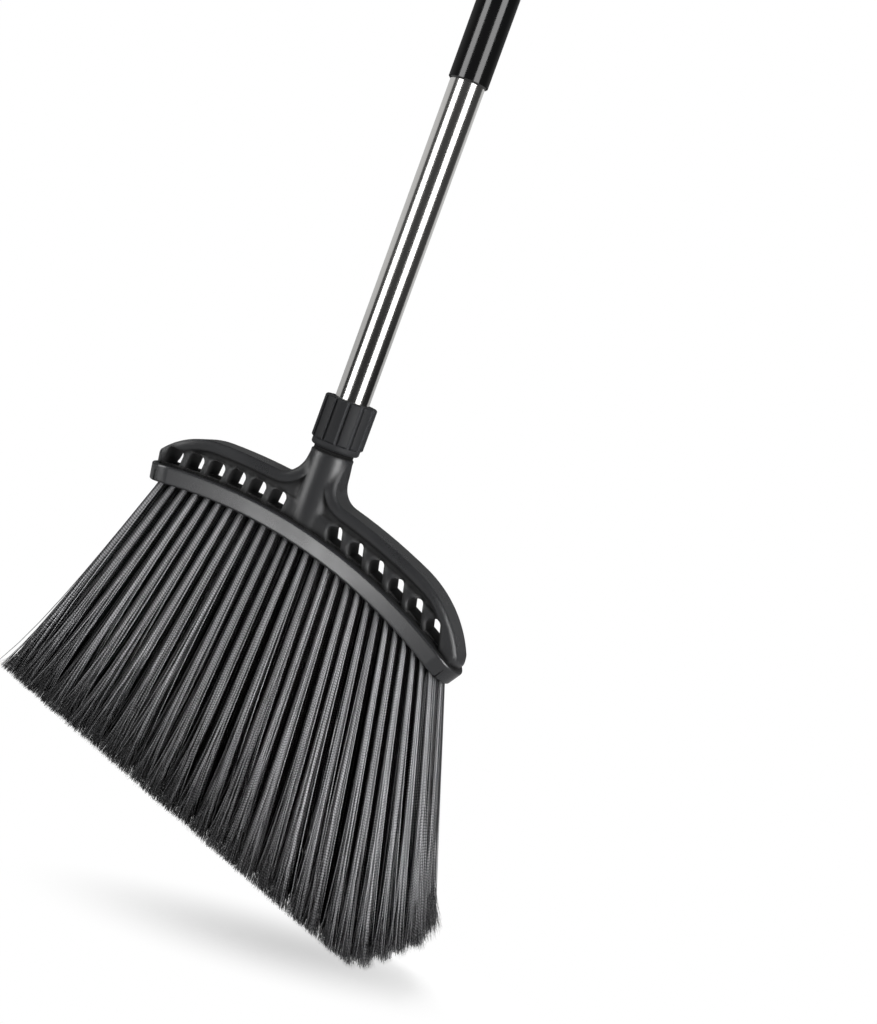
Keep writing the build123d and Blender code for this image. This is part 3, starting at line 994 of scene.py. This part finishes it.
    def split_mesh(self) -> Value:
        """Split ends that fluff out round each tuft's tip.

        Returns:
            The split ends' mesh.
        """
        graph, inputs, scatter, split = self.graph, self.inputs, self.scatter, self.split
        lines, along, index, _, share = self.strokes("Flags", split.points)
        turn = scatter(0.0, math.tau, index, Draw.END_TURN)
        spread = graph.math("SQRT", scatter(0.0, 1.0, index, Draw.END_SPREAD))
        side = graph.math("COSINE", turn) * spread
        depth = graph.math("SINE", turn) * spread
        mouth = self.mouth(share, side, depth)
        flare = inputs["Flare"] + depth * inputs["Fan"]
        run = graph.math("TANGENT", self.lean(share, side)), graph.math("TANGENT", flare)
        end = self.reach(mouth, run[0]) + scatter(*split.trim, index, Draw.END_TRIM)
        length = scatter(split.shortest, 1.0, index, Draw.END_LENGTH) * split.length
        fall = end - length * (1.0 - along)
        bend = along * split.spread
        stray = (
            scatter(-1.0, 1.0, index, Draw.END_SIDE) * bend,
            scatter(-1.0, 1.0, index, Draw.END_DEPTH) * bend,
        )
        curve = self.laid(lines, mouth, run, fall, stray, along, 1.0)
        late = along * (1.0 - split.start) + split.start
        stored = {
            self.HATCH: fall / self.crimp_pitch,
            # Painted light: the split ends on the row's long side darken less.
            self.ALONG: late * (1.0 - share**2.0 * self.tip_light),
            self.TONE: scatter(*split.tones, index, Draw.END_TONE),
        }
        return self.tubes(curve, stored, split.radius, 1.0 - along * split.taper)

    def strip_mesh(self) -> Value:
        """Slice of the backing that a row's tufts are set in.

        Returns:
            The strip's mesh.
        """
        graph = self.graph
        line = graph.value("GeometryNodeCurvePrimitiveLine", End=(1.0, 0.0, 0.0))
        fine = graph.value("GeometryNodeResampleCurve", Curve=line, Count=self.strip_points)
        along = graph.value("GeometryNodeSplineParameter", out="Factor")
        angle = (along * 2.0 - 1.0) * self.inputs["Strip Half"] / self.arc.radius + self.arc.head_angle
        middle = self.foot_radius + self.strip_height / 2
        centre_x, centre_z = self.arc.centre
        place = graph.vector(
            graph.math("SINE", angle) * middle + centre_x,
            self.inputs["Row Place"],
            graph.math("COSINE", angle) * middle + centre_z,
        )
        bent = graph.value("GeometryNodeSetPosition", Geometry=fine, Position=place)
        upright = graph.value("GeometryNodeSetCurveNormal", {"mode": "Z_UP"}, Curve=bent)
        size = {"Width": self.strip_width, "Height": self.strip_height}
        section = graph.value("GeometryNodeCurvePrimitiveQuadrilateral", **size)
        return graph.value("GeometryNodeCurveToMesh", Curve=upright, Profile_Curve=section, Fill_Caps=True)


@dataclass
class ScrewThreads:
    """Raised threads on the shanks of the four plugs."""

    finish: Finish
    shank_radius: float = 8.7 * MM
    depth: float = 0.75 * MM
    lead: float = 5.08 * MM
    ridge: float = 2.6 * MM
    crest_share: float = 1 / 3
    clear: float = 1.2 * MM
    resolution: int = 36
    end_rise: float = 24.0
    bodies: tuple[Body, ...] = (Body.GRIP_SECTION, Body.SECTION_2, Body.SECTION_3, Body.SECTION_4)

    def build(self) -> list[Piece]:
        """Wind a thread on each plug.

        Returns:
            The threads, each riding with its plug.
        """
        tree = self.tree()
        material = self.finish.material()
        threads = []
        for number, body in enumerate(self.bodies, start=1):
            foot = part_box(f"plug_{number}")[0].z + self.clear
            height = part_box(f"washer_{number}")[0].z - self.clear - foot
            sizes = {"Foot": foot, "Height": height, "Turns": height / self.lead, "Material": material}
            thread = grown(f"thread_{number}", tree, sizes)
            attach(thread, body.value)
            threads.append(thread)
        return threads

    def tree(self) -> bpy.types.NodeTree:
        """Geometry tree of one thread.

        Returns:
            The tree, with the thread's foot, height and turns as inputs.
        """
        graph, inputs = new_tree("screw_thread", ["Foot", "Height", "Turns"], [])
        helix = graph.value(
            "GeometryNodeCurveSpiral",
            Resolution=self.resolution,
            Rotations=inputs["Turns"],
            Start_Radius=self.shank_radius,
            End_Radius=self.shank_radius,
            Height=inputs["Height"],
        )
        lift = graph.vector(0.0, 0.0, inputs["Foot"])
        raised = graph.value("GeometryNodeSetPosition", Geometry=helix, Offset=lift)
        upright = graph.value("GeometryNodeSetCurveNormal", {"mode": "Z_UP"}, Curve=raised)
        section = graph.value(
            "GeometryNodeCurvePrimitiveQuadrilateral",
            {"mode": "TRAPEZOID"},
            Bottom_Width=self.ridge,
            Top_Width=self.ridge * self.crest_share,
            Height=2 * self.depth,
            Offset=0.0,
        )
        along = graph.value("GeometryNodeSplineParameter", out="Factor")
        from_end = graph.math("MINIMUM", along, 1.0 - along)
        ends = graph.math("MINIMUM", from_end * self.end_rise, 1.0)
        swept = {"Curve": upright, "Profile_Curve": section, "Scale": ends, "Fill_Caps": True}
        end_tree(graph, graph.value("GeometryNodeCurveToMesh", **swept), inputs["Material"])
        return graph.tree


@dataclass
class Dressing:
    """Finishes of the CAD nodes that show as they are, by the stem of their names."""

    tube: Finish
    coupler: Finish
    grip: Finish
    collar: Finish
    head_shell: Finish
    rim: Finish
    plug: Finish
    washer: Finish

    def dress(self) -> int:
        """Give each shown node its finish.

        Returns:
            How many nodes were dressed.
        """
        made = {stem: finish.material() for stem, finish in vars(self).items()}
        dressed = 0
        for name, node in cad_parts.items():
            stem = name.rstrip("0123456789").rstrip("_")
            if stem in made:
                node.material_slots[0].material = made[stem]
                dressed += 1
        return dressed


@dataclass(frozen=True)
class Softbox:
    """A softbox, by its angle in degrees from the camera and its distance and rise from the target.

    It aims level, or lower by its drop. Its power is in watts, and mirrored says if gloss shows it.
    """

    name: str
    azimuth: float
    distance: float
    rise: float
    size: tuple[float, float]
    power: float
    drop: float = 0.0
    mirrored: bool = True


@dataclass
class Studio:
    """Pale floor, softboxes that each light some of the pieces, a dim room and the camera of the close view."""

    floor_z: float
    collar_foot: float
    floor_finish: Finish
    head_pieces: list[Piece]
    tubes: list[Piece]
    target_drop: float = 0.06
    camera_place: tuple[float, float, float] = (0.280, -0.900, 0.100)
    heading: float = math.radians(12.797)
    pitch: float = math.radians(-6.885)
    roll: float = math.radians(20.545)
    lens: float = 53.72
    floor_size: float = 40.0
    camera_azimuth: float = math.radians(17.3)
    sweep_azimuth: float = math.radians(191.0)
    sweep_full: float = 0.6
    room_light: float = 0.05
    sweep_light: float = 0.14

    def build(self) -> None:
        """Set up floor, lights, surroundings and camera."""
        floor = self.floor()
        not_head = [floor, *self.head_pieces]
        not_tubes = [floor, *self.tubes]
        rim = [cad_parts["rim"]]
        rigs = (
            (not_head, Link.OTHERS, Softbox("handle_left", -49.0, 1.7, 0.75, (0.9, 2.1), 18.0)),
            (not_head, Link.OTHERS, Softbox("handle_right", 39.5, 1.7, 0.75, (0.95, 2.1), 19.0)),
            (self.tubes, Link.ALONE, Softbox("sweep_left", -129.0, 1.6, 0.75, (2.3, 2.6), 8.5)),
            (self.tubes, Link.ALONE, Softbox("sweep_right", 156.0, 1.6, 0.75, (2.3, 2.6), 9.0)),
            (self.head_pieces, Link.ALONE, Softbox("head_left", -76.0, 1.5, 0.4, (0.8, 1.5), 20.0)),
            (self.head_pieces, Link.ALONE, Softbox("head_right", 42.0, 1.5, 0.4, (0.7, 1.5), 38.0)),
            (not_tubes, Link.OTHERS, Softbox("back_left", -140.0, 1.5, 0.3, (0.6, 1.0), 16.0, mirrored=False)),
            (not_tubes, Link.OTHERS, Softbox("back_right", 140.0, 1.5, 0.3, (0.6, 1.0), 16.0, mirrored=False)),
            (rim, Link.ALONE, Softbox("rim_card", -32.8, 0.8, -0.12, (0.16, 0.12), 0.9)),
            ([floor], Link.ALONE, Softbox("floor_softbox", 190.0, 0.8, 1.45, (0.9, 0.9), 18.0, drop=1.45)),
        )
        for pieces, link, box in rigs:
            self.shine(self.hung(box), pieces, link)
        self.surroundings()
        self.camera()
        settings = bpy.context.scene.view_settings
        settings.view_transform = "Standard"
        settings.look = "None"

    def floor(self) -> Piece:
        """Lay the floor just under the lowest tip.

        Returns:
            The floor.
        """
        half = self.floor_size / 2
        corners = [(-half, -half), (half, -half), (half, half), (-half, half)]
        piece = linked("floor", bpy.data.meshes.new("floor"))
        piece.data.from_pydata([(x, y, self.floor_z) for x, y in corners], [], [(0, 1, 2, 3)])
        piece.data.materials.append(self.floor_finish.material())
        piece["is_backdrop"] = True
        return piece

    def hung(self, box: Softbox) -> Piece:
        """Hang a softbox that faces the broom.

        Args:
            box: The softbox.

        Returns:
            The light.
        """
        data = bpy.data.lights.new(box.name, "AREA")
        data.shape = "RECTANGLE"
        data.size, data.size_y = box.size
        data.energy = box.power
        light = linked(box.name, data)
        angle = self.camera_azimuth + math.radians(box.azimuth)
        outward = Vector((math.sin(angle) * box.distance, -math.cos(angle) * box.distance, 0.0))
        target = Vector((0.0, 0.0, self.collar_foot - self.target_drop))
        light.location = target + outward + Vector((0.0, 0.0, box.rise))
        light.visible_camera = False
        light.visible_glossy = box.mirrored
        aim = -outward - Vector((0.0, 0.0, box.drop))
        light.rotation_euler = aim.to_track_quat("-Z", "Y").to_euler()
        return light

    def shine(self, light: Piece, pieces: list[Piece], link: Link) -> None:
        """Shine a light on some pieces alone, or on all the others.

        Args:
            light: The light.
            pieces: The pieces.
            link: Whether it lights these alone or is kept off them.
        """
        lit = bpy.data.collections.new(f"{light.name}_lit")
        for piece in pieces:
            lit.objects.link(piece)
        for member in lit.collection_objects:
            member.light_linking.link_state = link.value
        light.light_linking.receiver_collection = lit

    def surroundings(self) -> None:
        """White to the camera; to the surfaces, a dim room that is a little lighter behind the broom."""
        world = bpy.data.worlds.new("studio")
        bpy.context.scene.world = world
        world.use_nodes = True
        graph = Graph(world.node_tree)
        graph.tree.nodes.clear()
        angle = self.camera_azimuth + self.sweep_azimuth
        behind = Vector((math.sin(angle), -math.cos(angle), 0.0))
        facing = graph.measure("DOT_PRODUCT", graph.value("ShaderNodeTexCoord", out="Generated"), behind)
        levels = {"From_Max": self.sweep_full, "To_Min": self.room_light, "To_Max": self.sweep_light}
        dim = graph.value("ShaderNodeMapRange", Value=facing, **levels)
        fill = graph.value("ShaderNodeBackground", Color=dim)
        white = graph.value("ShaderNodeBackground", Color=(1.0, 1.0, 1.0))
        camera_ray = graph.value("ShaderNodeLightPath", out="Is Camera Ray")
        graph.node("ShaderNodeOutputWorld", Surface=graph.mix_shader(camera_ray, fill, white))

    def camera(self) -> None:
        """Place the camera of the close view, by its offset from the collar's foot."""
        data = bpy.data.cameras.new("close_view")
        data.lens = self.lens
        data.clip_end = 2 * self.floor_size
        piece = linked("close_view", data)
        turn = (
            Matrix.Rotation(self.heading, 4, "Z")
            @ Matrix.Rotation(math.pi / 2 + self.pitch, 4, "X")
            @ Matrix.Rotation(self.roll, 4, "Z")
        )
        x, y, rise = self.camera_place
        piece.matrix_world = Matrix.Translation(Vector((x, y, self.collar_foot + rise))) @ turn
        bpy.context.scene.camera = piece


def finishes() -> Dressing:
    """Finishes of the broom's moulded, drawn and rubber pieces.

    Returns:
        The dressing of the CAD nodes.
    """
    fine = Surface.FINE
    return Dressing(
        tube=PolishedSteel("polished_steel", (0.78, 0.77, 0.75), 0.11),
        coupler=MouldedPlastic(
            "gloss_sleeve", (0.005, 0.005, 0.0055), 0.13, Surface.POLISHED, 0.02 * MM, marks=0.03, sheen=1.0
        ),
        grip=MouldedPlastic("grip_plastic", (0.008, 0.008, 0.0085), 0.5, Surface.SPARKED, 0.05 * MM),
        # The collar's grooves are painted lighter than its faces, against the shade that falls in them.
        collar=MouldedPlastic(
            "collar_plastic", (0.021, 0.0215, 0.023), 0.55, fine, 0.03 * MM, sheen=0.2, painted_recess_level=2.2
        ),
        head_shell=MouldedPlastic(
            "head_plastic", (0.025, 0.0255, 0.027), 0.3, fine, 0.025 * MM, sheen=0.6, edge_round=5.0 * MM
        ),
        rim=MouldedPlastic("rim_plastic", (0.022, 0.0225, 0.024), 0.26, fine, 0.02 * MM, marks=0.06, sheen=0.6),
        plug=MouldedPlastic("plug_plastic", (0.016, 0.016, 0.017), 0.45, fine, 0.02 * MM),
        washer=Rubber("washer_rubber", (0.007, 0.007, 0.007), 0.75),
    )


def main() -> None:
    """Build the broom's looks and its studio, and log the dressed nodes and the grown pieces' faces."""
    logging.basicConfig(level=logging.INFO, format="%(name)s: %(message)s")
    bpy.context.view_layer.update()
    arc = HeadArc()
    dressing = finishes()
    LOG.info("dressed %d nodes", dressing.dress())
    rows = Tufts(arc, CrimpedFibre("crimped_fibre", (0.5, 0.5, 0.515), 0.5, (0.003, 0.003, 0.0035))).build()
    threads = ScrewThreads(dressing.plug).build()
    for piece in (*rows, *threads):
        LOG.info("%s: %d faces", piece.name, len(piece.data.polygons))
    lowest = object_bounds()[0].z
    head_pieces = [*rows, *(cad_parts[name] for name in ("collar", "head_shell", "rim"))]
    tubes = [node for name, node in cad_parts.items() if name.startswith("tube")]
    floor_finish = PaleFloor("pale_floor", (0.9, 0.9, 0.9))
    Studio(lowest, arc.collar_foot, floor_finish, head_pieces, tubes).build()


if __name__ == "__main__":
    main()
